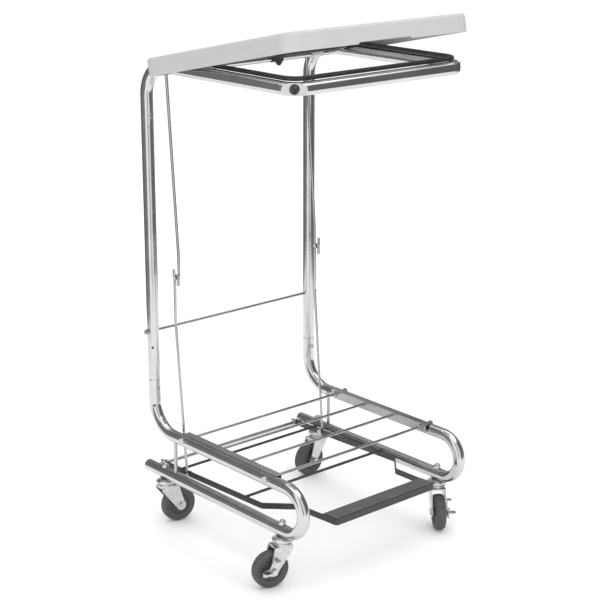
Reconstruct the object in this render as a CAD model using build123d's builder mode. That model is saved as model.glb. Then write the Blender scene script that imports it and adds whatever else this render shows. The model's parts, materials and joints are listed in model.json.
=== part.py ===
from build123d import *
from math import copysign, cos, radians, sin
import os

# Linen hamper stand on casters: a bent-tube frame that holds a bag under a pedal-operated lid.
# Millimetres, +Z up, -Y is the pedal side. The origin is on the floor at the centre of the
# rectangle that the four caster stems make.

# ---------------------------------------------------------------- driving dimensions

# Frame tube
TUBE_R = 12.7                 # 1 in tube
TUBE_BORE_R = 11.1
SOCKET_R = 11.3               # reamed mouth of the open rear ends
SOCKET_DEPTH = 20.0
SIDE_X = 218.0                # centre plane of each side frame
STEM_Y = 192.5                # caster stems stand at +STEM_Y and -STEM_Y
POST_Y = 224.5
LOWER_Z = 115.0               # centre line of the lower run
UPPER_Z = 209.0               # centre line of the upper run
REAR_END_Y = POST_Y + 28
FRONT_APEX_Y = POST_Y - 480   # foremost point of the front bend's centre line
HEEL_BEND_R = 65.0            # where the upper run turns up into the post
BASE_TOP_Z = 320.0            # joint between base frame and post
POST_TOP_Z = 863.0            # joint between post and upper frame
TENON = 45.0                  # length of a swaged post end inside its socket
TUBE_EASE = 0.8               # eased edge where two tubes meet end to end
DRAIN_R = 2.5
POST_DRAIN_Z = 393.0
BASE_DRAIN_Z = 264.0
TOP_Z = 990.0                 # centre line of the upper frame
TOP_BEND_R = 65.0
TOP_FRONT_Y = POST_Y - 454
CORNER_BEND_R = 30.0
FACET_DEPTH = 7.4             # flat crushed into the outside of each front corner
CORNER_BOLT_R = 2.5

# Rods and struts
TIE_Z = 427.0
TIE_R = 3.0
STRUT_Y = POST_Y - 69.5
STRUT_R = 4.0
WIRE_R = 3.0
WIRE_Z = 214.5
WIRE_Y = [POST_Y - 110, POST_Y - 200, POST_Y - 290, POST_Y - 380]
RAIL_X = 201.5                # inboard face of the rack rail's web
RAIL_T = 1.5
RAIL_LOW_Z = 204.0
RAIL_Y = (POST_Y - 396, POST_Y - 98)

# Pedal, laid out in a plane that tilts about its axle
AXLE_Y = POST_Y + 12
AXLE_Z = LOWER_Z
AXLE_R = 4.0
PEDAL_TILT = 1.7
ARM_X = 188.0
TOE_X = 136.0
BAR_T = 3.0
BAR_H = 12.0
JOG_V = (-330.0, -382.0)      # where the arms jog inwards, measured from the axle
TOE_V = -498.0
AXLE_TIP_V = 12.0
TREAD_T = 1.2
PAD_T = 2.0
CROSS_ROD_R = 3.0
CROSS_ROD_V = (-72.0, -287.0)
ROD_PIN_V = -88.0
PAD_DEPTH = 36.0

# Lid, laid out in a plane that tilts about its hinge bar
HINGE_Y = POST_Y - 100
HINGE_Z = 986.0
HINGE_BAR_R = 5.0
HINGE_BAR_INSERT = 4.0        # how far the bar enters each side tube
LID_OPEN = 12.2               # how far the lid stands open at rest
LID_HALF = 236.0
LID_REAR_V = 84.5
LID_LENGTH = 456.0
LID_TOP_W = 32.0
LID_SKIRT = 36.5
LID_T = 2.5
LID_CORNER_R = 28.0
BRACKET_X = 150.0
LUG_PIN = (75.2, 3.0)         # lift-rod slot in the lug, in the lid's plane
LUG_X = 195.0
LUG_SLOT = (10.5, 7.4)
LID_EDGE_R = 7.0
NOTCH_X = (203.3, 232.3)      # rear-skirt notches for the side tubes
FINGER_HALF = 66.0
FINGER_RISE = 3.5
BRACKET_SCREW_V = (-16.0, 26.0)

# Bag ring
RING_HALF = 214.0
RING_R = 4.5
RING_CORE_R = 2.5
RING_Z = TOP_Z + TUBE_R + RING_R + 0.4
RING_FRONT_Y = POST_Y - 447
RING_SHOULDER_Y = POST_Y - 147
RING_REAR = (190.0, POST_Y - 113, 995.0)

# Lift rods
ROD_R = 3.0
LOWER_ROD_X = 193.7
UPPER_ROD_X = 187.4
HOOK_R = 6.3
HOOK_TAIL = 14.0
HOOK_Z = 547.5
HOOK_Y = POST_Y - 54

# Casters
WHEEL_R = 38.0
TREAD_W = 22.0
TRAIL = 28.0
STEM_R = 5.0
RACE_R = 21.0
RACE_TOP_Z = LOWER_Z - TUBE_R
FORK_T = 2.5
FORK_INNER = 13.5
HUB_R = 25.0
AXLE_BOLT_R = 4.0
BRAKE_T = 2.0
CASTERS = {                   # name: (x, y, direction in which the wheel trails, braked)
    "front_left": (-SIDE_X, -STEM_Y, 167, True),
    "front_right": (SIDE_X, -STEM_Y, 235, True),
    "rear_left": (-SIDE_X, STEM_Y, -8, False),
    "rear_right": (SIDE_X, STEM_Y, 183, False),
}

SIDES = {"left": -1, "right": 1}
CLEAR = 0.08                  # radial clearance of a running fit

pieces = []


def keep(part, label):
    """Names a finished piece and keeps it for export."""
    part.label = label
    pieces.append(part)
    return part


def tilted_plane(y, z, tilt, x=0.0):
    """A plane through (x, y, z) whose front, the -Y side, is raised by tilt degrees."""
    return Plane(
        origin=(x, y, z),
        x_dir=(1, 0, 0),
        z_dir=(0, sin(radians(tilt)), cos(radians(tilt))),
    )


LID_PLANE = tilted_plane(HINGE_Y, HINGE_Z, LID_OPEN)
PEDAL_PLANE = tilted_plane(AXLE_Y, AXLE_Z, PEDAL_TILT)


def sideways_plane(tilted, x):
    """Faces +X at x, with its own x along the tilted plane's length."""
    return Plane(tilted.from_local_coords((x, 0, 0)), x_dir=tilted.y_dir, z_dir=(1, 0, 0))


def forward_plane(tilted, x, v, w):
    """Faces forward along the tilted plane, through the point x, v, w in it."""
    return Plane(tilted.from_local_coords((x, v, w)), x_dir=(1, 0, 0), z_dir=-tilted.y_dir)


def cross_plane(x, y, z, direction=1):
    """A plane across the X axis for a round section that runs along X."""
    return Plane(origin=(x, y, z), x_dir=(0, 1, 0), z_dir=(direction, 0, 0))


def rod_along_x(x0, x1, y, z, radius):
    """A plain round rod from x0 to x1."""
    with BuildPart() as rod:
        with BuildSketch(cross_plane(x0, y, z)):
            Circle(radius)
        extrude(amount=x1 - x0)
    return rod.part


def dome_nut(plane, across=13.0, hex_height=5.0, bore=0.0):
    """A hexagon nut with a domed cap, standing on the given plane."""
    with BuildPart() as nut:
        with BuildSketch(plane):
            RegularPolygon(across / 2, 6, major_radius=False)
        extrude(amount=hex_height)
        chamfer(nut.faces().sort_by(Axis(plane.origin, plane.z_dir))[-1].edges(), 0.6)
        with BuildSketch(plane.offset(hex_height)):
            Circle(across * 0.42)
        extrude(amount=across * 0.34)
        fillet(nut.faces().sort_by(Axis(plane.origin, plane.z_dir))[-1].edges(), across * 0.32)
        if bore:
            with BuildSketch(plane):
                Circle(bore)
            extrude(amount=hex_height + 1, mode=Mode.SUBTRACT)
    return nut.part


def pan_screw(plane, head_r=4.2, head_h=2.4, shank_r=2.0, shank=3.0):
    """A pan-head screw: head above the plane, shank below it."""
    with BuildPart() as screw:
        with BuildSketch(plane):
            Circle(head_r)
        extrude(amount=head_h)
        fillet(screw.faces().sort_by(Axis(plane.origin, plane.z_dir))[-1].edges(), 1.2)
        with BuildSketch(plane.offset(head_h - 1.0)):
            Rectangle(head_r * 1.2, 0.9)
            Rectangle(0.9, head_r * 1.2)
        extrude(amount=1.5, mode=Mode.SUBTRACT)
        with BuildSketch(plane):
            Circle(shank_r)
        extrude(amount=-shank)
    return screw.part


# ---------------------------------------------------------------- tube frame

def drain_plane(x, z):
    """On a post's axis, facing outwards and forwards, where the plating drains out."""
    return Plane(origin=(x, POST_Y, z), z_dir=(copysign(1, x), -1, 0))


def base_frame(x):
    """One side of the base: lower run, front bend, upper run, heel bend and post socket."""
    bend_r = (UPPER_Z - LOWER_Z) / 2
    bend_y = FRONT_APEX_Y + bend_r
    heel_y = POST_Y - HEEL_BEND_R
    with BuildPart() as frame:
        with BuildLine(Plane.YZ.offset(x)):
            Line((REAR_END_Y, LOWER_Z), (bend_y, LOWER_Z))
            CenterArc((bend_y, LOWER_Z + bend_r), bend_r, 270, -180)
            Line((bend_y, UPPER_Z), (heel_y, UPPER_Z))
            CenterArc((heel_y, UPPER_Z + HEEL_BEND_R), HEEL_BEND_R, 270, 90)
            Line((POST_Y, UPPER_Z + HEEL_BEND_R), (POST_Y, BASE_TOP_Z))
        with BuildSketch(Plane(origin=(x, REAR_END_Y, LOWER_Z), z_dir=(0, -1, 0))):
            Circle(TUBE_R)
            Circle(TUBE_BORE_R, mode=Mode.SUBTRACT)
        sweep()
        for stem_y in (-STEM_Y, STEM_Y):
            with BuildSketch(Plane.XY.offset(LOWER_Z - 20)):
                with Locations((x, stem_y)):
                    Circle(STEM_R)
            extrude(amount=40, mode=Mode.SUBTRACT)
        for y in (WIRE_Y[0], WIRE_Y[-1]):
            with BuildSketch(cross_plane(x - 20, y, WIRE_Z)):
                Circle(WIRE_R)
            extrude(amount=40, mode=Mode.SUBTRACT)
        outward = copysign(1, x)
        with BuildSketch(cross_plane(x - outward * 20, AXLE_Y, AXLE_Z, outward)):
            Circle(AXLE_R)
        extrude(amount=20, mode=Mode.SUBTRACT)
        # Reamed mouth at the open rear end
        with BuildSketch(Plane(origin=(x, REAR_END_Y, LOWER_Z), z_dir=(0, -1, 0))):
            Circle(SOCKET_R)
        extrude(amount=SOCKET_DEPTH, mode=Mode.SUBTRACT)
        with BuildSketch(Plane(origin=(x, POST_Y, BASE_TOP_Z - 20), z_dir=(0, -1, 0))):
            Circle(2.0)
        extrude(amount=20, mode=Mode.SUBTRACT)
        with BuildSketch(drain_plane(x, BASE_DRAIN_Z)):
            Circle(DRAIN_R)
        extrude(amount=TUBE_R * 2, mode=Mode.SUBTRACT)
        circles = frame.edges().filter_by(GeomType.CIRCLE)
        rim = circles.filter_by_position(Axis.Z, BASE_TOP_Z - 0.1, BASE_TOP_Z + 0.1)
        chamfer(rim.sort_by(SortBy.RADIUS)[-1], TUBE_EASE)
    return frame.part


def mid_post(x):
    """The straight post with a swaged, narrower tenon at each end."""
    tenon_r = TUBE_BORE_R
    bore_r = 9.6
    low, high = BASE_TOP_Z - TENON, POST_TOP_Z + TENON
    with BuildPart() as post:
        with BuildSketch(Plane(origin=(x, POST_Y, 0), x_dir=(1, 0, 0), z_dir=(0, -1, 0))):
            with BuildLine():
                Polyline(
                    (bore_r, low),
                    (tenon_r, low),
                    (tenon_r, BASE_TOP_Z),
                    (TUBE_R - TUBE_EASE, BASE_TOP_Z),
                    (TUBE_R, BASE_TOP_Z + TUBE_EASE),
                    (TUBE_R, POST_TOP_Z - TUBE_EASE),
                    (TUBE_R - TUBE_EASE, POST_TOP_Z),
                    (tenon_r, POST_TOP_Z),
                    (tenon_r, high),
                    (bore_r, high),
                    close=True,
                )
            make_face()
        revolve(axis=Axis((x, POST_Y, 0), (0, 0, 1)))
        with BuildSketch(cross_plane(x - 20, POST_Y, TIE_Z)):
            Circle(TIE_R)
        extrude(amount=40, mode=Mode.SUBTRACT)
        for z in (BASE_TOP_Z - 20, POST_TOP_Z + 21):
            with BuildSketch(Plane(origin=(x, POST_Y, z), z_dir=(0, -1, 0))):
                Circle(2.0)
            extrude(amount=20, mode=Mode.SUBTRACT)
        with BuildSketch(drain_plane(x, POST_DRAIN_Z)):
            Circle(DRAIN_R)
        extrude(amount=TUBE_R * 2, mode=Mode.SUBTRACT)
    return post.part


def corner_facet(sign):
    """The plane of the flat on a front corner, facing 45 degrees outwards."""
    outward = Vector(sign, -1, 0).normalized()
    centre = Vector(sign * (SIDE_X - CORNER_BEND_R), TOP_FRONT_Y + CORNER_BEND_R, TOP_Z)
    return Plane(origin=centre + outward * (CORNER_BEND_R + TUBE_R - FACET_DEPTH), z_dir=outward)


def crushed_wall(sign):
    """The pressed-in wall that closes the tube behind a corner's flat."""
    facet = corner_facet(sign)
    with BuildPart() as wall:
        with BuildSketch(Plane(origin=(sign * SIDE_X, TOP_FRONT_Y + CORNER_BEND_R, TOP_Z), z_dir=(0, 1, 0))):
            Circle(TUBE_R - 0.2)
        bend_axis = Axis((sign * (SIDE_X - CORNER_BEND_R), TOP_FRONT_Y + CORNER_BEND_R, TOP_Z), (0, 0, 1))
        revolve(axis=bend_axis, revolution_arc=-90 * sign)
        with BuildSketch(facet):
            Rectangle(80, 80)
        extrude(amount=-(TUBE_R - TUBE_BORE_R), mode=Mode.INTERSECT)
    return wall.part


def upper_frame():
    """One tube: up from both posts, forward along each side and across the front."""
    bend_y = POST_Y - TOP_BEND_R
    bend_z = TOP_Z - TOP_BEND_R
    corner_x = SIDE_X - CORNER_BEND_R
    corner_y = TOP_FRONT_Y + CORNER_BEND_R
    walls = {sign: crushed_wall(sign) for sign in SIDES.values()}
    with BuildPart() as frame:
        with BuildLine() as path:
            for side, sign in SIDES.items():
                x = sign * SIDE_X
                with BuildLine(Plane.YZ.offset(x)):
                    Line((POST_Y, POST_TOP_Z), (POST_Y, bend_z))
                    CenterArc((bend_y, bend_z), TOP_BEND_R, 0, 90)
                    Line((bend_y, TOP_Z), (corner_y, TOP_Z))
            with BuildLine(Plane.XY.offset(TOP_Z)):
                CenterArc((-corner_x, corner_y), CORNER_BEND_R, 180, 90)
                Line((-corner_x, TOP_FRONT_Y), (corner_x, TOP_FRONT_Y))
                CenterArc((corner_x, corner_y), CORNER_BEND_R, 270, 90)
        with BuildSketch(Plane(origin=(-SIDE_X, POST_Y, POST_TOP_Z), z_dir=(0, 0, 1))):
            Circle(TUBE_R)
            Circle(TUBE_BORE_R, mode=Mode.SUBTRACT)
        sweep(path=path.wires()[0])
        for sign in SIDES.values():
            facet = corner_facet(sign)
            with BuildSketch(facet):
                Rectangle(80, 80)
            extrude(amount=20, mode=Mode.SUBTRACT)
            add(walls[sign])
            with BuildSketch(facet):
                Circle(CORNER_BOLT_R)
            extrude(amount=-12, mode=Mode.SUBTRACT)
            with BuildSketch(Plane(origin=(sign * SIDE_X, POST_Y, POST_TOP_Z + 21), z_dir=(0, -1, 0))):
                Circle(2.0)
            extrude(amount=20, mode=Mode.SUBTRACT)
            with BuildSketch(cross_plane(sign * (SIDE_X - 20), HINGE_Y, HINGE_Z, sign)):
                Circle(HINGE_BAR_R)
            extrude(amount=20, mode=Mode.SUBTRACT)
    return frame.part


for side, sign in SIDES.items():
    keep(base_frame(sign * SIDE_X), f"{side}_base_frame")
    keep(mid_post(sign * SIDE_X), f"{side}_mid_post")
keep(upper_frame(), "upper_frame")


# ---------------------------------------------------------------- frame hardware

def front_plane(x, z):
    """The plane touching the front of a post, facing forwards."""
    return Plane(origin=(x, POST_Y - TUBE_R, z), z_dir=(0, -1, 0))


def group(parts, label):
    """Several separate solids that share one name."""
    return keep(Compound(children=list(parts)), label)


def washer(plane, outer, bore, thick):
    """A flat washer standing on the plane."""
    with BuildPart() as ring:
        with BuildSketch(plane):
            Circle(outer)
            Circle(bore, mode=Mode.SUBTRACT)
        extrude(amount=thick)
    return ring.part


def push_cap(plane, radius, bore, height=4.0, dimple=1.6):
    """A round cap with a blind bore towards the plane and a shallow dimple on top."""
    with BuildPart() as cap:
        with BuildSketch(plane):
            Circle(radius)
        extrude(amount=height)
        top = cap.faces().sort_by(Axis(plane.origin, plane.z_dir))[-1]
        fillet(top.edges(), height * 0.42)
        with BuildSketch(plane.offset(height)):
            Circle(radius * 0.5)
        extrude(amount=-dimple / 2, taper=30, mode=Mode.SUBTRACT)
        with BuildSketch(plane):
            Circle(bore)
        extrude(amount=height * 0.5, mode=Mode.SUBTRACT)
    return cap.part


def frame_strut(x):
    """A short round strut, coped onto the two runs of a side frame."""
    with BuildPart() as strut:
        with BuildSketch(Plane.XY.offset(LOWER_Z)):
            with Locations((x, STRUT_Y)):
                Circle(STRUT_R)
        extrude(amount=UPPER_Z - LOWER_Z)
        for z in (LOWER_Z, UPPER_Z):
            with BuildSketch(Plane(origin=(x, STRUT_Y - 20, z), z_dir=(0, 1, 0))):
                Circle(TUBE_R)
            extrude(amount=40, mode=Mode.SUBTRACT)
    return strut.part


def rack_rail(sign):
    """An angle that stands inside the upper run and laps over the top of it."""
    top_z = UPPER_Z + TUBE_R + RAIL_T
    with BuildPart() as rail:
        with BuildSketch(Plane.XZ.offset(-RAIL_Y[1])):
            with BuildLine():
                Polyline(
                    (sign * RAIL_X, RAIL_LOW_Z),
                    (sign * (RAIL_X + RAIL_T), RAIL_LOW_Z),
                    (sign * (RAIL_X + RAIL_T), top_z - RAIL_T),
                    (sign * SIDE_X, top_z - RAIL_T),
                    (sign * SIDE_X, top_z),
                    (sign * RAIL_X, top_z),
                    close=True,
                )
            make_face()
        extrude(amount=RAIL_Y[1] - RAIL_Y[0])
        for y in WIRE_Y:
            with BuildSketch(cross_plane(sign * (RAIL_X - 2), y, WIRE_Z, sign)):
                Circle(WIRE_R)
            extrude(amount=6, mode=Mode.SUBTRACT)
    return rail.part


def post_screws():
    """The self-tapping screws that lock each post into its sockets."""
    for sign in SIDES.values():
        for z in (BASE_TOP_Z - 20, POST_TOP_Z + 21):
            yield pan_screw(front_plane(sign * SIDE_X, z), head_r=4.4, shank_r=2.0, shank=4.0)


TIE_NUT = 5.0
TIE_WASHER = 1.2
TIE_TIP = 3.5
CAP_H = 4.0
COLLAR_R = 7.0
COLLAR_W = 6.0
SIDE_GAP = 0.3                # side play between an arm and its collars

group(post_screws(), "frame_screws")
group(
    [pan_screw(corner_facet(s), head_r=9.5, head_h=4.6, shank_r=CORNER_BOLT_R, shank=9) for s in (-1, 1)],
    "corner_bolts",
)
tie_end = SIDE_X + TUBE_R + TIE_WASHER + TIE_NUT + TIE_TIP
keep(rod_along_x(-tie_end, tie_end, POST_Y, TIE_Z, TIE_R), "tie_rod")


def tie_rod_nuts():
    """A washer and a hexagon nut outside each post."""
    for sign in SIDES.values():
        face = cross_plane(sign * (SIDE_X + TUBE_R), POST_Y, TIE_Z, sign)
        yield washer(face, 6.5, TIE_R, TIE_WASHER)
        with BuildPart() as nut:
            with BuildSketch(face.offset(TIE_WASHER)):
                RegularPolygon(5.0, 6, major_radius=False)
                Circle(TIE_R, mode=Mode.SUBTRACT)
            extrude(amount=TIE_NUT)
        yield nut.part


group(tie_rod_nuts(), "tie_rod_nuts")
group([frame_strut(sign * SIDE_X) for sign in SIDES.values()], "frame_struts")
for side, sign in SIDES.items():
    keep(rack_rail(sign), f"{side}_rack_rail")


def rack_wires():
    """The outer wires run through both side tubes; the middle ones end in the rails."""
    for number, y in enumerate(WIRE_Y):
        through = number in (0, len(WIRE_Y) - 1)
        end = SIDE_X + TUBE_R + CAP_H * 0.5 if through else RAIL_X + RAIL_T
        yield rod_along_x(-end, end, y, WIRE_Z, WIRE_R)


def rack_caps():
    """Round caps outside the side tubes."""
    for sign in SIDES.values():
        for y in (WIRE_Y[0], WIRE_Y[-1]):
            yield push_cap(cross_plane(sign * (SIDE_X + TUBE_R), y, WIRE_Z, sign), 7.0, WIRE_R, CAP_H)


def rack_nuts():
    """Nuts that hold the rails from inside."""
    for sign in SIDES.values():
        for y in (WIRE_Y[0], WIRE_Y[-1]):
            with BuildPart() as nut:
                with BuildSketch(cross_plane(sign * RAIL_X, y, WIRE_Z, -sign)):
                    RegularPolygon(5.0, 6, major_radius=False)
                    Circle(WIRE_R, mode=Mode.SUBTRACT)
                extrude(amount=4.5)
            yield nut.part


group(rack_wires(), "rack_wires")
group(rack_caps(), "rack_caps")
group(rack_nuts(), "rack_nuts")

axle_end = SIDE_X - TUBE_BORE_R - SIDE_GAP
keep(rod_along_x(-axle_end, axle_end, AXLE_Y, AXLE_Z, AXLE_R), "pedal_axle")


def axle_collars():
    """Collars on the axle, either side of each pedal arm."""
    for sign in SIDES.values():
        for facing in (-1, 1):
            face_x = ARM_X + facing * (BAR_T / 2 + SIDE_GAP)
            face = cross_plane(sign * face_x, AXLE_Y, AXLE_Z, sign * facing)
            yield washer(face, COLLAR_R, AXLE_R, COLLAR_W)


group(axle_collars(), "axle_collars")
bar_end = SIDE_X - TUBE_R + HINGE_BAR_INSERT
keep(rod_along_x(-bar_end, bar_end, HINGE_Y, HINGE_Z, HINGE_BAR_R), "lid_hinge_bar")


# ---------------------------------------------------------------- bag ring

def ring_path_points():
    """The open loop, from one side of its butt joint at the front round to the other."""
    joint_x, gap = 36.0, 0.3
    rear_x, rear_y, rear_z = RING_REAR
    return [
        (joint_x + gap, RING_FRONT_Y, RING_Z),
        (RING_HALF, RING_FRONT_Y, RING_Z),
        (RING_HALF, RING_SHOULDER_Y, RING_Z),
        (rear_x, rear_y, rear_z),
        (-rear_x, rear_y, rear_z),
        (-RING_HALF, RING_SHOULDER_Y, RING_Z),
        (-RING_HALF, RING_FRONT_Y, RING_Z),
        (joint_x - gap, RING_FRONT_Y, RING_Z),
    ]


def bag_ring(outer, inner=0.0):
    """The bag ring's wire, or the sleeve round it."""
    with BuildPart() as ring:
        with BuildLine() as path:
            FilletPolyline(*ring_path_points(), radius=[28, 18, 16, 16, 18, 28])
        with BuildSketch(Plane(origin=path.line @ 0, z_dir=path.line % 0)):
            Circle(outer)
            if inner:
                Circle(inner, mode=Mode.SUBTRACT)
        sweep(path=path.line)
    return ring.part


def ring_clip():
    """A black plastic clip round the hinge bar and the ring's rear strand, with a heart-shaped tab."""
    width = 22.0
    x = 37.0
    strand = (RING_REAR[1], RING_REAR[2])
    bar = (HINGE_Y, HINGE_Z)
    with BuildPart() as clip:
        with BuildSketch(Plane.YZ.offset(x - width / 2)):
            with Locations(bar):
                Circle(HINGE_BAR_R + 2.6)
            with Locations(strand):
                Circle(RING_R + 2.4)
            make_hull()
            with Locations(strand):
                Circle(RING_R + CLEAR, mode=Mode.SUBTRACT)
            with Locations(bar):
                Circle(HINGE_BAR_R, mode=Mode.SUBTRACT)
        extrude(amount=width)
        tab_y = strand[0] - 1.0
        with BuildSketch(Plane.XZ.offset(-tab_y)):
            with BuildLine():
                Polyline(
                    (x - width / 2, strand[1] - 6.0),
                    (x - width / 2, strand[1] - 12.0),
                    (x, strand[1] - 25.0),
                    (x + width / 2, strand[1] - 12.0),
                    (x + width / 2, strand[1] - 6.0),
                    close=True,
                )
            make_face()
            # The point and the two lower shoulders, picked in the sketch's own axes
            fillet(vertices().sort_by(Axis.Y)[0:3], 4.0)
        extrude(amount=-5.0)
    return clip.part


keep(bag_ring(RING_CORE_R), "bag_ring_wire")
keep(bag_ring(RING_R, RING_CORE_R), "bag_ring_sleeve")
keep(ring_clip(), "ring_clip")


# ---------------------------------------------------------------- lid

def lid_shell():
    """A shallow tray, open below, with notches in its rear skirt for the two side tubes."""
    low_w = LID_TOP_W - LID_SKIRT
    inner_w = LID_TOP_W - LID_T
    middle_v = LID_REAR_V - LID_LENGTH / 2
    front_v = LID_REAR_V - LID_LENGTH
    up = Axis(LID_PLANE.origin, LID_PLANE.z_dir)
    with BuildPart() as lid:
        with BuildSketch(LID_PLANE.offset(low_w)):
            with Locations((0, middle_v)):
                RectangleRounded(2 * LID_HALF, LID_LENGTH, LID_CORNER_R)
        extrude(amount=LID_SKIRT)
        fillet(lid.faces().sort_by(up)[-1].edges(), LID_EDGE_R)
        offset(amount=-LID_T, openings=lid.faces().sort_by(up)[0])
        # Notches that clear the side tubes behind the hinge
        with BuildSketch(LID_PLANE.offset(low_w - 1)):
            with Locations(*[(s * (NOTCH_X[0] + NOTCH_X[1]) / 2, LID_REAR_V - 18) for s in (-1, 1)]):
                RectangleRounded(NOTCH_X[1] - NOTCH_X[0], 44, 3)
        extrude(amount=inner_w - low_w + 1, mode=Mode.SUBTRACT)
        # Raised edge in the front skirt for the fingers
        with BuildSketch(forward_plane(LID_PLANE, 0, front_v, 0)):
            with BuildLine():
                Polyline(
                    (-FINGER_HALF - 4, low_w - 1),
                    (-FINGER_HALF - 4, low_w),
                    (-FINGER_HALF, low_w + FINGER_RISE),
                    (FINGER_HALF, low_w + FINGER_RISE),
                    (FINGER_HALF + 4, low_w),
                    (FINGER_HALF + 4, low_w - 1),
                    close=True,
                )
            make_face()
        extrude(amount=6, both=True, mode=Mode.SUBTRACT)
    return lid.part


def lid_bracket(x):
    """A moulded hinge block: a flange under the lid's top and a knuckle round the hinge bar."""
    inner_w = LID_TOP_W - LID_T
    flange = 3.0
    width = 30.0
    with BuildPart() as bracket:
        with BuildSketch(LID_PLANE.offset(inner_w - flange)):
            with Locations((x, 4)):
                RectangleRounded(width, 60, 3)
        extrude(amount=flange)
        side = sideways_plane(LID_PLANE, x - width / 2)
        with BuildSketch(side):
            Circle(8)
            with Locations((0, (inner_w - flange) / 2)):
                Rectangle(16, inner_w - flange)
        extrude(amount=width)
        with BuildSketch(side):
            Circle(HINGE_BAR_R + CLEAR)
        extrude(amount=width, mode=Mode.SUBTRACT)
        # A shallow recess in the knuckle's front face
        with BuildSketch(forward_plane(LID_PLANE, x, -8, 15)):
            RectangleRounded(18, 12, 1.5)
        extrude(amount=-1.2, mode=Mode.SUBTRACT)
        with BuildSketch(LID_PLANE.offset(inner_w - flange)):
            with Locations(*[(x, v) for v in BRACKET_SCREW_V]):
                Circle(1.8)
        extrude(amount=flange, mode=Mode.SUBTRACT)
    return bracket.part


def bracket_screws():
    """Pan-head screws under each hinge block's flange."""
    flange_w = LID_TOP_W - LID_T - 3.0
    for x in (-BRACKET_X, BRACKET_X):
        for v in BRACKET_SCREW_V:
            spot = LID_PLANE.from_local_coords((x, v, flange_w))
            face = Plane(spot, x_dir=(1, 0, 0), z_dir=-LID_PLANE.z_dir)
            yield pan_screw(face, head_r=3.6, head_h=2.2, shank_r=1.8, shank=3.0)


def lift_lug(sign):
    """An angle riveted inside the rear skirt, with the slot that the lift rod's end sits in."""
    v, w = LUG_PIN
    wall_v = LID_REAR_V - LID_T
    low_w = LID_TOP_W - LID_SKIRT
    thick = 2.0
    x = sign * LUG_X
    with BuildPart() as lug:
        leaf = sideways_plane(LID_PLANE, x - thick / 2)
        with BuildSketch(leaf):
            with BuildLine():
                Polyline(
                    (v - 10, low_w + 0.5),
                    (wall_v, low_w + 0.5),
                    (wall_v, 20),
                    (wall_v - 8, 20),
                    (v - 10, 4),
                    close=True,
                )
            make_face()
            fillet(vertices(), 4)
        extrude(amount=thick)
        foot = forward_plane(LID_PLANE, x, wall_v, 0)
        with BuildSketch(foot):
            with Locations((sign * 3.2, (low_w + 20) / 2 + 1)):
                Rectangle(8.4, 18 - low_w)
        extrude(amount=thick)
        with BuildSketch(leaf):
            with Locations((v + 0.6, w)):
                SlotOverall(LUG_SLOT[0], LUG_SLOT[1])
        extrude(amount=thick, mode=Mode.SUBTRACT)
    return lug.part


keep(lid_shell(), "lid_shell")
group([lid_bracket(x) for x in (-BRACKET_X, BRACKET_X)], "lid_hinge_blocks")
group(bracket_screws(), "lid_screws")
group([lift_lug(sign) for sign in SIDES.values()], "lid_lift_lugs")


# ---------------------------------------------------------------- pedal

def pedal_bar():
    """One flat bar on edge: two arms from the axle, jogged in to the sides of the tread."""
    arm = [(ARM_X, AXLE_TIP_V), (ARM_X, JOG_V[0]), (TOE_X + 4, JOG_V[1]), (TOE_X, TOE_V)]
    mirrored = [(-x, v) for x, v in reversed(arm)]
    with BuildPart() as bar:
        with BuildSketch(PEDAL_PLANE.offset(-BAR_H / 2)):
            with BuildLine():
                FilletPolyline(*arm, *mirrored, radius=[8, 8, 5, 5, 8, 8])
            trace(line_width=BAR_T)
        extrude(amount=BAR_H)
        side = sideways_plane(PEDAL_PLANE, -ARM_X - 5)
        with BuildSketch(side):
            Circle(AXLE_R + CLEAR)
            with Locations((ROD_PIN_V, 0)):
                Circle(ROD_R + CLEAR)
        extrude(amount=2 * ARM_X + 10, mode=Mode.SUBTRACT)
    return bar.part


def pedal_cross_rods():
    """Two round rods welded across the tops of the arms."""
    for v in CROSS_ROD_V:
        end = ARM_X + 4.5
        spot = PEDAL_PLANE.from_local_coords((0, v, BAR_H / 2 + CROSS_ROD_R))
        yield rod_along_x(-end, end, spot.Y, spot.Z, CROSS_ROD_R)


def tread_plate():
    """The channel-shaped steel tread that bridges the arms at the front."""
    rear_v = TOE_V + PAD_DEPTH + 4
    front_v = TOE_V - BAR_T / 2
    middle_v = (rear_v + front_v) / 2
    half = TOE_X + 2.5
    with BuildPart() as plate:
        with BuildSketch(PEDAL_PLANE.offset(BAR_H / 2)):
            with Locations((0, middle_v)):
                Rectangle(2 * half, rear_v - front_v)
        extrude(amount=TREAD_T)
        with BuildSketch(PEDAL_PLANE.offset(BAR_H / 2)):
            with Locations((0, rear_v - TREAD_T / 2)):
                Rectangle(2 * half - 14, TREAD_T)
        extrude(amount=-9)
    return plate.part


def tread_pad():
    """The ribbed rubber pad on the tread."""
    top = BAR_H / 2 + TREAD_T
    middle_v = TOE_V + PAD_DEPTH / 2 + 1.5
    with BuildPart() as pad:
        with BuildSketch(PEDAL_PLANE.offset(top)):
            with Locations((0, middle_v)):
                RectangleRounded(2 * TOE_X - 2, PAD_DEPTH, 3)
        extrude(amount=PAD_T)
        up = Axis(PEDAL_PLANE.origin, PEDAL_PLANE.z_dir)
        chamfer(pad.faces().sort_by(up)[-1].edges(), 0.6)
        with BuildSketch(PEDAL_PLANE.offset(top + PAD_T)):
            with Locations((0, middle_v)):
                with GridLocations(0, 5.0, 1, 6):
                    Rectangle(2 * TOE_X - 14, 1.2)
        extrude(amount=-0.7, mode=Mode.SUBTRACT)
    return pad.part


keep(pedal_bar(), "pedal_bar")
group(pedal_cross_rods(), "pedal_cross_rods")
keep(tread_plate(), "tread_plate")
keep(tread_pad(), "tread_pad")


# ---------------------------------------------------------------- lift rods

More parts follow.
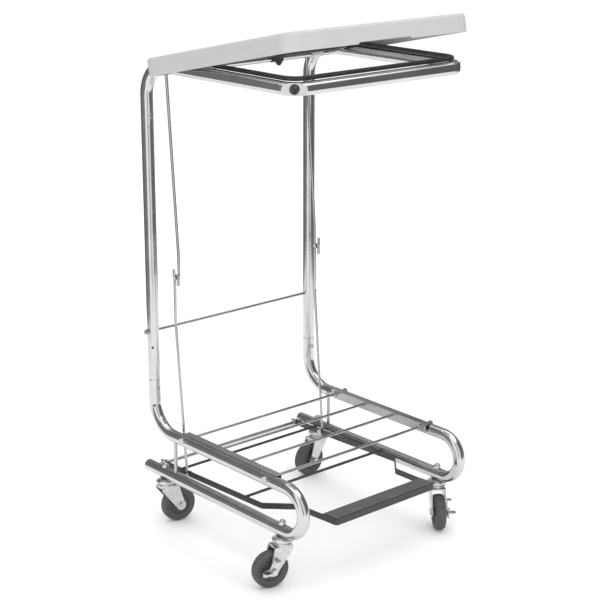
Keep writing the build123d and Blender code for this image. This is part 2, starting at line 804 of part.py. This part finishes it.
PIN_SPOT = PEDAL_PLANE.from_local_coords((0, ROD_PIN_V, 0))
LUG_SPOT = LID_PLANE.from_local_coords((0, LUG_PIN[0], LUG_PIN[1]))
PIN_CAP_X = ARM_X - BAR_T / 2 - 0.3


def lower_rod(sign):
    """From its pin in the pedal arm up to a hook that opens downwards."""
    x = sign * LOWER_ROD_X
    y = HOOK_Y + HOOK_R
    with BuildPart() as rod:
        with BuildLine() as path:
            FilletPolyline(
                (sign * (PIN_CAP_X - 2), PIN_SPOT.Y, PIN_SPOT.Z),
                (x, PIN_SPOT.Y, PIN_SPOT.Z),
                (x, y, PIN_SPOT.Z + 330),
                (x, y, HOOK_Z),
                radius=[3.4, 120],
            )
            with BuildLine(Plane.YZ.offset(x)):
                CenterArc((HOOK_Y, HOOK_Z), HOOK_R, 0, 180)
                Line((HOOK_Y - HOOK_R, HOOK_Z), (HOOK_Y - HOOK_R, HOOK_Z - HOOK_TAIL))
        with BuildSketch(cross_plane(sign * (PIN_CAP_X - 2), PIN_SPOT.Y, PIN_SPOT.Z, sign)):
            Circle(ROD_R)
        sweep(path=path.wires()[0])
    return rod.part


def upper_rod(sign):
    """From a hook that opens upwards to the pin in the lid's lug."""
    x = sign * UPPER_ROD_X
    hook_z = HOOK_Z + 2 * HOOK_R - 2 * ROD_R - 0.2
    tail_x = x + sign * 2 * HOOK_R
    pin_end = (sign * (LUG_X + 5), LUG_SPOT.Y, LUG_SPOT.Z)
    with BuildPart() as rod:
        with BuildLine() as path:
            Line((tail_x, HOOK_Y, hook_z + HOOK_TAIL), (tail_x, HOOK_Y, hook_z))
            ThreePointArc(
                (tail_x, HOOK_Y, hook_z),
                (x + sign * HOOK_R, HOOK_Y, hook_z - HOOK_R),
                (x, HOOK_Y, hook_z),
            )
            FilletPolyline(
                (x, HOOK_Y, hook_z),
                (x, HOOK_Y, hook_z + 40),
                (x, LUG_SPOT.Y, LUG_SPOT.Z),
                pin_end,
                radius=[120, 4.5],
            )
        with BuildSketch(Plane(origin=(tail_x, HOOK_Y, hook_z + HOOK_TAIL), z_dir=(0, 0, -1))):
            Circle(ROD_R)
        sweep(path=path.wires()[0])
    return rod.part


for side, sign in SIDES.items():
    keep(lower_rod(sign), f"{side}_lower_lift_rod")
    keep(upper_rod(sign), f"{side}_upper_lift_rod")
    cap_face = cross_plane(sign * PIN_CAP_X, PIN_SPOT.Y, PIN_SPOT.Z, -sign)
    keep(push_cap(cap_face, 6.0, ROD_R, 4.0), f"{side}_pin_cap")


# ---------------------------------------------------------------- casters

def caster_plane(x, y, heading):
    """Standing on the floor under the stem: local x trails, local z is up, local y is the axle."""
    trail = (cos(radians(heading)), sin(radians(heading)), 0)
    return Plane(origin=(x, y, 0), x_dir=trail, z_dir=(0, 0, 1))


def side_plane(base, offset_y):
    """The caster's own upright plane through its centre line, moved sideways along the axle."""
    axle = base.y_dir
    return Plane(origin=base.origin + axle * offset_y, x_dir=base.x_dir, z_dir=-axle)


def turned(x, y, outline):
    """A round piece about the stem's axis from its half section (radius, height)."""
    with BuildPart() as piece:
        with BuildSketch(Plane(origin=(x, y, 0), x_dir=(1, 0, 0), z_dir=(0, -1, 0))):
            with BuildLine():
                Polyline(*outline, close=True)
            make_face()
        revolve(axis=Axis((x, y, 0), (0, 0, 1)))
    return piece.part


CROWN_Z = 84.0
CROWN_T = 2.5


def caster_stems():
    """King bolts: a head under each fork and a shank up through the tube."""
    for x, y, heading, braked in CASTERS.values():
        head_top = CROWN_Z - 0.4
        yield turned(x, y, [
            (0, head_top - 4),
            (6, head_top - 4),
            (8.5, head_top - 2),
            (8.5, head_top),
            (STEM_R, head_top),
            (STEM_R, LOWER_Z + TUBE_R + 6),
            (0, LOWER_Z + TUBE_R + 6),
        ])


def caster_cups():
    """Fixed top races, seated against the underside of the side tubes."""
    for x, y, heading, braked in CASTERS.values():
        yield turned(x, y, [
            (STEM_R, RACE_TOP_Z),
            (12, RACE_TOP_Z),
            (18, RACE_TOP_Z - 2.4),
            (RACE_R, RACE_TOP_Z - 4.4),
            (RACE_R, RACE_TOP_Z - 7.6),
            (RACE_R - 1.6, RACE_TOP_Z - 7.6),
            (RACE_R - 1.6, RACE_TOP_Z - 5.2),
            (17.2, RACE_TOP_Z - 4.2),
            (11.6, RACE_TOP_Z - 2.0),
            (STEM_R, RACE_TOP_Z - 2.0),
        ])


def stem_nuts():
    """Domed nuts on top of the side tubes."""
    for x, y, heading, braked in CASTERS.values():
        yield dome_nut(Plane.XY.offset(LOWER_Z + TUBE_R).move(Location((x, y, 0))), 14, 5.5, STEM_R)


def caster_fork(x, y, heading):
    """A pressed fork: raised race on a crown plate, with a leg each side of the wheel."""
    base = caster_plane(x, y, heading)
    leg_out = FORK_INNER + FORK_T
    race_top = RACE_TOP_Z - 4.6
    with BuildPart() as fork:
        for sign in (-1, 1):
            with BuildSketch(side_plane(base, sign * (FORK_INNER + FORK_T / 2))):
                with BuildLine():
                    Polyline(
                        (-15, CROWN_Z + CROWN_T),
                        (-17, CROWN_Z - 5),
                        (TRAIL - 9.5, WHEEL_R - 5),
                        (TRAIL + 10.5, WHEEL_R - 3),
                        (23, CROWN_Z + CROWN_T),
                        close=True,
                    )
                make_face()
                with Locations((TRAIL, WHEEL_R)):
                    Circle(11)
                with Locations((TRAIL, WHEEL_R)):
                    Circle(AXLE_BOLT_R, mode=Mode.SUBTRACT)
            extrude(amount=FORK_T / 2, both=True)
        with BuildSketch(base.offset(CROWN_Z)):
            with Locations((4, 0)):
                RectangleRounded(38, 2 * leg_out, 4)
            Circle(RACE_R - 2.2)
        extrude(amount=CROWN_T)
        with BuildSketch(Plane(origin=(x, y, 0), x_dir=(1, 0, 0), z_dir=(0, -1, 0))):
            with BuildLine():
                Polyline(
                    (7, CROWN_Z),
                    (RACE_R - 2.4, CROWN_Z),
                    (RACE_R - 2.4, CROWN_Z + 6),
                    (RACE_R - 5.5, race_top - 2.0),
                    (11, race_top),
                    (7, race_top),
                    close=True,
                )
            make_face()
        revolve(axis=Axis((x, y, 0), (0, 0, 1)))
        with BuildSketch(Plane.XY.offset(CROWN_Z - 5)):
            with Locations((x, y)):
                Circle(STEM_R + CLEAR)
        extrude(amount=30, mode=Mode.SUBTRACT)
    return fork.part


def wheel_section(x, y, heading, outline):
    """A round piece about the wheel's axle from its half section (radius, offset along the axle)."""
    base = caster_plane(x, y, heading)
    centre = base.from_local_coords((TRAIL, 0, WHEEL_R))
    section = Plane(origin=centre, x_dir=base.x_dir, z_dir=(0, 0, 1))
    with BuildPart() as piece:
        with BuildSketch(section):
            with BuildLine():
                Polyline(*outline, close=True)
            make_face()
        revolve(axis=Axis(centre, base.y_dir))
    return piece.part


def tyre(x, y, heading):
    """Solid rubber tread with crowned edges and a step down to the hub."""
    half = TREAD_W / 2
    return wheel_section(x, y, heading, [
        (HUB_R, -half + 2),
        (WHEEL_R - 7, -half + 1),
        (WHEEL_R - 5, -half),
        (WHEEL_R - 2.2, -half + 1.0),
        (WHEEL_R - 0.6, -half + 3.2),
        (WHEEL_R, -half + 6),
        (WHEEL_R, half - 6),
        (WHEEL_R - 0.6, half - 3.2),
        (WHEEL_R - 2.2, half - 1.0),
        (WHEEL_R - 5, half),
        (WHEEL_R - 7, half - 1),
        (HUB_R, half - 2),
    ])


def hub(x, y, heading):
    """Moulded wheel centre with a dished web and a boss that runs on the axle bolt."""
    half = TREAD_W / 2
    boss = FORK_INNER - 0.4
    bore = AXLE_BOLT_R + CLEAR
    return wheel_section(x, y, heading, [
        (bore, -boss),
        (8.5, -boss),
        (9.5, -half + 4),
        (HUB_R - 4, -half + 4),
        (HUB_R - 2, -half + 2),
        (HUB_R, -half + 2),
        (HUB_R, half - 2),
        (HUB_R - 2, half - 2),
        (HUB_R - 4, half - 4),
        (9.5, half - 4),
        (8.5, boss),
        (bore, boss),
    ])


def axle_bolt(x, y, heading):
    """The wheel's bolt and its nut, clamped outside the fork's legs."""
    base = caster_plane(x, y, heading)
    out = FORK_INNER + FORK_T
    reach = out + 8
    with BuildPart() as bolt:
        with BuildSketch(side_plane(base, -out)):
            with Locations((TRAIL, WHEEL_R)):
                Circle(6.2)
        extrude(amount=3.4)
        with BuildSketch(side_plane(base, -out)):
            with Locations((TRAIL, WHEEL_R)):
                Circle(AXLE_BOLT_R)
        extrude(amount=-(out + reach))
        with BuildSketch(side_plane(base, reach)):
            with Locations((TRAIL, WHEEL_R)):
                RegularPolygon(6.0, 6, major_radius=False)
        extrude(amount=5.0)
    return bolt.part


def brake_lever(x, y, heading):
    """A pressed lever that rocks on the axle bolt, with a long and a short foot tab."""
    base = caster_plane(x, y, heading)
    inner = FORK_INNER + FORK_T + 0.5
    with BuildPart() as lever:
        with BuildSketch(side_plane(base, inner + BRAKE_T / 2)):
            with BuildLine():
                Polyline(
                    (TRAIL - 9, WHEEL_R - 6),
                    (TRAIL + 24, WHEEL_R - 8),
                    (TRAIL + 24, WHEEL_R + 5),
                    (TRAIL + 9, WHEEL_R + 8),
                    (TRAIL - 1, WHEEL_R + 27),
                    (TRAIL - 13, WHEEL_R + 23),
                    close=True,
                )
            make_face()
            fillet(vertices(), 3)
            with Locations((TRAIL, WHEEL_R)):
                Circle(AXLE_BOLT_R + CLEAR, mode=Mode.SUBTRACT)
        extrude(amount=BRAKE_T / 2, both=True)
        tabs = [
            ((TRAIL + 17, WHEEL_R + 5.4), 14, 17),
            ((TRAIL - 7, WHEEL_R + 24.2), 11, 12),
        ]
        for (tab_x, tab_z), width, reach in tabs:
            flat = Plane(
                origin=base.from_local_coords((tab_x, inner, tab_z)),
                x_dir=base.x_dir,
                z_dir=(0, 0, 1),
            )
            with BuildSketch(flat):
                with Locations((0, reach / 2)):
                    RectangleRounded(width, reach, 2.5)
                with Locations((0, 2)):
                    Rectangle(width, 4)
            extrude(amount=-BRAKE_T)
    return lever.part


group(caster_stems(), "caster_stems")
group(caster_cups(), "caster_cups")
group(stem_nuts(), "stem_nuts")
for name, (x, y, heading, braked) in CASTERS.items():
    keep(caster_fork(x, y, heading), f"{name}_fork")
    keep(axle_bolt(x, y, heading), f"{name}_axle_bolt")
    keep(tyre(x, y, heading), f"{name}_tyre")
    keep(hub(x, y, heading), f"{name}_hub")
    if braked:
        keep(brake_lever(x, y, heading), f"{name}_brake_lever")

os.makedirs("parts", exist_ok=True)
for piece in pieces:
    export_step(piece, f"parts/{piece.label}.step")
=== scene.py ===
import json
from math import cos, pi, radians, sin

import bpy
from mathutils import Matrix, Vector

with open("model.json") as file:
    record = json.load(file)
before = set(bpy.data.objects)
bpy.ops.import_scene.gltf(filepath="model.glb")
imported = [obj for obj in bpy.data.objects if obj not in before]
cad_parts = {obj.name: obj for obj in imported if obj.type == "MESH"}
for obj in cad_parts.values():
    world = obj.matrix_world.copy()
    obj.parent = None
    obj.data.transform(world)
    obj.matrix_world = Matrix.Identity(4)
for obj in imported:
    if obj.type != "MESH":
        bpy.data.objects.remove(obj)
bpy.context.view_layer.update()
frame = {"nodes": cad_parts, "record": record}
nodes = frame["nodes"]

# ---------------------------------------------------------------- camera

CAMERA_AZIMUTH = -41.11
CAMERA_ELEVATION = 16.69
CAMERA_DISTANCE = 3.30935
CAMERA_TARGET = (0.0, -0.0055, 0.450)
TARGET_SHIFT = (-0.00655, 0.05075)   # along the camera's own right and up
FOCAL_IN_FRAME_WIDTHS = 2.64997
SENSOR = 36.0


def make_camera():
    """The viewpoint at the front left, looking a little down."""
    azimuth, elevation = radians(CAMERA_AZIMUTH), radians(CAMERA_ELEVATION)
    back = Vector((sin(azimuth) * cos(elevation), -cos(azimuth) * cos(elevation), sin(elevation)))
    right = Vector((cos(azimuth), sin(azimuth), 0.0))
    up = back.cross(right)
    target = Vector(CAMERA_TARGET) + right * TARGET_SHIFT[0] + up * TARGET_SHIFT[1]
    data = bpy.data.cameras.new("camera")
    data.sensor_width = SENSOR
    data.lens = SENSOR * FOCAL_IN_FRAME_WIDTHS
    data.clip_end = 300.0
    camera = bpy.data.objects.new("camera", data)
    turn = Matrix((right, up, back)).transposed().to_4x4()
    camera.matrix_world = Matrix.Translation(target + back * CAMERA_DISTANCE) @ turn
    bpy.context.scene.collection.objects.link(camera)
    bpy.context.scene.camera = camera


# ---------------------------------------------------------------- materials

class Shader:
    """A Principled material with short helpers for its texture nodes."""

    def __init__(self, name, **values):
        self.material = bpy.data.materials.new(name)
        self.material.use_nodes = True
        self.tree = self.material.node_tree
        self.principled = self.tree.nodes["Principled BSDF"]
        for socket, value in values.items():
            self.principled.inputs[socket.replace("_", " ")].default_value = value
        coordinates = self.tree.nodes.new("ShaderNodeTexCoord")
        self.position = coordinates.outputs["Object"]

    def link(self, output, target, socket):
        self.tree.links.new(output, target.inputs[socket])

    def stretched(self, scale, turn=(0.0, 0.0, 0.0)):
        """Object coordinates, turned and then scaled along each axis."""
        mapping = self.tree.nodes.new("ShaderNodeMapping")
        mapping.inputs["Rotation"].default_value = turn
        mapping.inputs["Scale"].default_value = scale
        self.link(self.position, mapping, "Vector")
        return mapping.outputs["Vector"]

    def noise(self, scale, detail=4.0, roughness=0.55, vector=None):
        texture = self.tree.nodes.new("ShaderNodeTexNoise")
        texture.inputs["Scale"].default_value = scale
        texture.inputs["Detail"].default_value = detail
        texture.inputs["Roughness"].default_value = roughness
        self.link(vector or self.position, texture, "Vector")
        return texture.outputs["Fac"]

    def cells(self, scale, feature="F1", vector=None):
        texture = self.tree.nodes.new("ShaderNodeTexVoronoi")
        texture.feature = feature
        texture.inputs["Scale"].default_value = scale
        self.link(vector or self.position, texture, "Vector")
        return texture.outputs["Distance"]

    def remap(self, value, low, high, to_low, to_high):
        node = self.tree.nodes.new("ShaderNodeMapRange")
        node.inputs["From Min"].default_value = low
        node.inputs["From Max"].default_value = high
        node.inputs["To Min"].default_value = to_low
        node.inputs["To Max"].default_value = to_high
        self.link(value, node, "Value")
        return node.outputs["Result"]

    def ramp(self, value, stops):
        node = self.tree.nodes.new("ShaderNodeValToRGB")
        elements = node.color_ramp.elements
        while len(elements) < len(stops):
            elements.new(0.5)
        for element, (place, colour) in zip(elements, stops):
            element.position = place
            element.color = (*colour, 1.0)
        self.link(value, node, "Fac")
        return node.outputs["Color"]

    def colour(self, value, stops):
        self.link(self.ramp(value, stops), self.principled, "Base Color")
        return self

    def roughness(self, value, low, high, span=(0.35, 0.65)):
        self.link(self.remap(value, *span, low, high), self.principled, "Roughness")
        return self

    def bump(self, *layers):
        """Layers of (height, strength, depth in metres), each added on the one before."""
        normal = None
        for height, strength, depth in layers:
            node = self.tree.nodes.new("ShaderNodeBump")
            node.inputs["Strength"].default_value = strength
            node.inputs["Distance"].default_value = depth
            self.link(height, node, "Height")
            if normal:
                self.link(normal, node, "Normal")
            normal = node.outputs["Normal"]
        self.link(normal, self.principled, "Normal")
        return self


def grey(level, tint=0.0):
    """A near-neutral colour; tint above zero leans to blue."""
    return (level * (1 - tint), level, level * (1 + tint))


def chrome(name, level=0.62, smooth=0.10, dull=0.20):
    """Plated tube: bright, with faint clouding and the slight ripple of polished tube."""
    shader = Shader(name, Metallic=1.0)
    clouds = shader.noise(14.0, 5.0)
    ripple = shader.noise(55.0, 2.0)
    shader.colour(clouds, [(0.30, grey(level * 0.94, 0.01)), (0.70, grey(level * 1.05, 0.01))])
    shader.roughness(clouds, smooth, dull)
    shader.bump((ripple, 0.04, 0.0006))
    return shader.material


def bright_zinc(name, level=0.60, low=0.24, high=0.42):
    """Zinc-plated pressings: spangled, with fine brushed grain."""
    shader = Shader(name, Metallic=1.0)
    spangle = shader.cells(180.0)
    grain = shader.noise(700.0, 3.0, vector=shader.stretched((0.15, 1.0, 1.0)))
    clouds = shader.noise(40.0, 5.0)
    shader.colour(spangle, [(0.0, grey(level * 0.86, 0.02)), (0.8, grey(level * 1.12, 0.01))])
    shader.roughness(clouds, low, high)
    shader.bump((grain, 0.10, 0.0002), (clouds, 0.08, 0.0006))
    return shader.material


def black_enamel():
    """Sprayed black paint with orange peel and greyer worn patches."""
    shader = Shader("black_enamel", Coat_Weight=0.15, Coat_Roughness=0.35)
    wear = shader.noise(30.0, 8.0, 0.7)
    peel = shader.noise(420.0, 2.0)
    shader.colour(wear, [(0.45, grey(0.028, 0.03)), (0.62, grey(0.042, 0.02)), (0.78, grey(0.085, 0.0))])
    shader.roughness(wear, 0.38, 0.60)
    shader.bump((peel, 0.16, 0.0004))
    return shader.material


def pebbled(name, dark, light, scale=520.0, rough=(0.60, 0.82), depth=0.0006):
    """Moulded rubber or plastic with a pebble grain."""
    shader = Shader(name)
    dust = shader.noise(45.0, 6.0, 0.65)
    pebbles = shader.cells(scale, "SMOOTH_F1")
    fine = shader.noise(scale * 3.0, 2.0)
    shader.colour(dust, [(0.35, dark), (0.68, light)])
    shader.roughness(dust, *rough)
    shader.bump((pebbles, 0.55, depth), (fine, 0.12, depth * 0.5))
    return shader.material


def vinyl_sleeve():
    """The smooth black sleeve on the bag ring, with a soft sheen and drag marks."""
    shader = Shader("vinyl_sleeve")
    marks = shader.noise(60.0, 6.0, 0.6)
    skin = shader.noise(500.0, 3.0)
    shader.colour(marks, [(0.35, grey(0.016, 0.02)), (0.70, grey(0.034, 0.02))])
    shader.roughness(marks, 0.28, 0.46)
    shader.bump((skin, 0.10, 0.0004))
    return shader.material


def moulded_lid():
    """The lid's light grey plastic: fine stipple, slight waviness and faint yellowing and scuffs."""
    shader = Shader("moulded_lid", Subsurface_Weight=0.06, Subsurface_Scale=0.004)
    shader.principled.inputs["Subsurface Radius"].default_value = (1.0, 0.9, 0.8)
    clouds = shader.noise(7.0, 6.0, 0.6)
    stipple = shader.cells(900.0, "SMOOTH_F1")
    wave = shader.noise(9.0, 2.0)
    scuffs = shader.noise(60.0, 8.0, 0.75, vector=shader.stretched((1.0, 0.25, 1.0)))
    shader.colour(clouds, [(0.30, (0.455, 0.460, 0.464)), (0.70, (0.505, 0.510, 0.513))])
    shader.roughness(scuffs, 0.34, 0.52)
    shader.bump((wave, 0.10, 0.004), (stipple, 0.10, 0.0003))
    return shader.material


def moulded_grey():
    """The hinge blocks' light grey plastic."""
    shader = Shader("moulded_grey")
    clouds = shader.noise(80.0, 5.0)
    stipple = shader.cells(800.0, "SMOOTH_F1")
    shader.colour(clouds, [(0.30, grey(0.50)), (0.70, grey(0.60))])
    shader.roughness(clouds, 0.40, 0.56)
    shader.bump((stipple, 0.16, 0.0003))
    return shader.material


def wheel_compound(name, dark, light):
    """Solid wheel rubber: matt, dusty, with scuffed patches and a fine skin."""
    shader = Shader(name)
    dust = shader.noise(70.0, 8.0, 0.7)
    scuffs = shader.noise(260.0, 4.0, 0.7)
    shader.colour(dust, [(0.32, dark), (0.60, light), (0.85, grey(light[1] * 1.35))])
    shader.roughness(scuffs, 0.48, 0.72)
    shader.bump((scuffs, 0.20, 0.0005), (dust, 0.14, 0.0008))
    return shader.material


def black_oxide():
    """Blackened bolt heads with brighter rubbed spots."""
    shader = Shader("black_oxide", Metallic=0.85)
    rub = shader.noise(160.0, 6.0, 0.7)
    shader.colour(rub, [(0.40, grey(0.035)), (0.75, grey(0.16))])
    shader.roughness(rub, 0.32, 0.50)
    shader.bump((rub, 0.10, 0.0004))
    return shader.material


def material_for_slots():
    """One material for each of the record's material slots."""
    return {
        "chrome_tube": chrome("chrome_tube"),
        "chrome_rod": chrome("chrome_rod", level=0.50, smooth=0.12, dull=0.24),
        "rack_steel": chrome("rack_steel", level=0.44, smooth=0.20, dull=0.34),
        "zinc_hardware": bright_zinc("zinc_hardware", level=0.58, low=0.20, high=0.36),
        "zinc_caster": bright_zinc("zinc_caster"),
        "dark_bolt": black_oxide(),
        "black_paint": black_enamel(),
        "tread_rubber": pebbled("tread_rubber", grey(0.085, 0.01), grey(0.120, 0.01)),
        "ring_sleeve": vinyl_sleeve(),
        "clip_plastic": pebbled("clip_plastic", grey(0.020), grey(0.034), scale=700.0, depth=0.0004),
        "lid_plastic": moulded_lid(),
        "bracket_plastic": moulded_grey(),
        "wheel_rubber": wheel_compound("wheel_rubber", grey(0.052, 0.01), grey(0.075, 0.01)),
        "wheel_hub": wheel_compound("wheel_hub", grey(0.045, 0.01), grey(0.066, 0.01)),
    }


def dress_nodes():
    """Gives every CAD node the material of its slot."""
    made = material_for_slots()
    for entry in frame["record"]["subparts"]:
        piece = nodes[entry["node"]]
        piece.data.materials.clear()
        piece.data.materials.append(made[entry["material_slot"]])


# ---------------------------------------------------------------- studio

FLOOR_SIZE = 120.0
ROOM_STRENGTH = 1.22
# Brightness of the room from straight down, 0, to straight up, 1
ROOM_LEVELS = [(0.0, 0.85), (0.47, 0.85), (0.52, 0.85), (0.62, 0.85), (0.80, 0.90), (1.0, 1.0)]
LIGHT_TARGET = (0.0, 0.0, 0.6)
# Name, place, width and height in metres, watts
LIGHTS = [
    ("light_above", (0.2, -0.4, 3.6), (3.4, 3.4), 30.0),
    ("light_left", (-3.2, -1.6, 1.6), (1.6, 2.4), 14.0),
    ("light_front", (0.8, -3.8, 1.8), (2.0, 2.0), 12.0),
    ("light_back", (1.6, 3.2, 2.2), (2.4, 1.6), 14.0),
]
WALL_RADIUS = 1.7
WALL_HEIGHT = 2.3
# Brightness round the reflection wall: degrees from the camera's side, level
WALL_STRIPS = [
    (-180, 0.55), (-165, 0.24), (-120, 0.15), (-70, 0.28), (-46, 0.22), (-40, 1.25), (-4, 1.15), (2, 0.20),
    (9, 0.20), (14, 1.05), (38, 1.10), (46, 0.20), (100, 0.14), (140, 0.34), (168, 0.20), (180, 0.55),
]


def make_floor():
    """A plain pale floor that runs out of view on every side."""
    bpy.ops.mesh.primitive_plane_add(size=FLOOR_SIZE)
    floor = bpy.context.object
    floor.name = "studio_floor"
    shader = Shader("studio_floor", Roughness=0.9)
    clouds = shader.noise(2.0, 2.0)
    shader.colour(clouds, [(0.3, grey(0.90)), (0.7, grey(0.92))])
    floor.data.materials.append(shader.material)


def grey_ramp(tree, value, stops):
    """A colour ramp of plain greys, from (place, level) stops."""
    ramp = tree.nodes.new("ShaderNodeValToRGB")
    elements = ramp.color_ramp.elements
    while len(elements) < len(stops):
        elements.new(0.5)
    for element, (place, level) in zip(elements, stops):
        element.position = place
        element.color = (level, level, level, 1.0)
    tree.links.new(value, ramp.inputs["Fac"])
    return ramp.outputs["Color"]


def make_reflection_wall():
    """A round wall of pale and dark strips that only the bright metal mirrors."""
    bpy.ops.mesh.primitive_cylinder_add(
        vertices=96, radius=WALL_RADIUS, depth=WALL_HEIGHT, end_fill_type="NOTHING",
        location=(0.0, 0.0, WALL_HEIGHT / 2), rotation=(0.0, 0.0, radians(CAMERA_AZIMUTH)),
    )
    wall = bpy.context.object
    wall.name = "reflection_wall"
    material = bpy.data.materials.new("reflection_wall")
    material.use_nodes = True
    tree = material.node_tree
    tree.nodes.clear()
    place = tree.nodes.new("ShaderNodeTexCoord")
    parts = tree.nodes.new("ShaderNodeSeparateXYZ")
    tree.links.new(place.outputs["Object"], parts.inputs["Vector"])
    flipped = tree.nodes.new("ShaderNodeMath")
    flipped.operation = "MULTIPLY"
    flipped.inputs[1].default_value = -1.0
    tree.links.new(parts.outputs["Y"], flipped.inputs[0])
    angle = tree.nodes.new("ShaderNodeMath")
    angle.operation = "ARCTAN2"
    tree.links.new(parts.outputs["X"], angle.inputs[0])
    tree.links.new(flipped.outputs[0], angle.inputs[1])
    turn = tree.nodes.new("ShaderNodeMapRange")
    turn.inputs["From Min"].default_value = -pi
    turn.inputs["From Max"].default_value = pi
    tree.links.new(angle.outputs[0], turn.inputs["Value"])
    strips = [(degrees / 360 + 0.5, level) for degrees, level in WALL_STRIPS]
    glow = tree.nodes.new("ShaderNodeEmission")
    tree.links.new(grey_ramp(tree, turn.outputs["Result"], strips), glow.inputs["Color"])
    output = tree.nodes.new("ShaderNodeOutputMaterial")
    tree.links.new(glow.outputs["Emission"], output.inputs["Surface"])
    wall.data.materials.append(material)
    wall.visible_camera = False
    wall.visible_diffuse = False
    wall.visible_transmission = False
    wall.visible_shadow = False


def soft_box(name, place, target, size, power):
    """A large square area light, aimed at a point."""
    data = bpy.data.lights.new(name, "AREA")
    data.shape = "RECTANGLE"
    data.size, data.size_y = size
    data.energy = power
    light = bpy.data.objects.new(name, data)
    light.location = place
    aim = Vector(target) - Vector(place)
    light.rotation_euler = aim.to_track_quat("-Z", "Y").to_euler()
    bpy.context.scene.collection.objects.link(light)


def make_studio():
    """Soft light from above and both sides, in an evenly pale room."""
    for name, place, size, power in LIGHTS:
        soft_box(name, place, LIGHT_TARGET, size, power)
    world = bpy.data.worlds.new("studio")
    world.use_nodes = True
    bpy.context.scene.world = world
    tree = world.node_tree
    background = tree.nodes["Background"]
    background.inputs["Strength"].default_value = ROOM_STRENGTH
    direction = tree.nodes.new("ShaderNodeTexCoord")
    parts = tree.nodes.new("ShaderNodeSeparateXYZ")
    tree.links.new(direction.outputs["Generated"], parts.inputs["Vector"])
    height = tree.nodes.new("ShaderNodeMapRange")
    height.inputs["From Min"].default_value = -1.0
    tree.links.new(parts.outputs["Z"], height.inputs["Value"])
    levels = grey_ramp(tree, height.outputs["Result"], ROOM_LEVELS)
    tree.links.new(levels, background.inputs["Color"])


make_camera()
dress_nodes()
make_floor()
make_reflection_wall()
make_studio()
bpy.context.scene.view_settings.view_transform = "Standard"
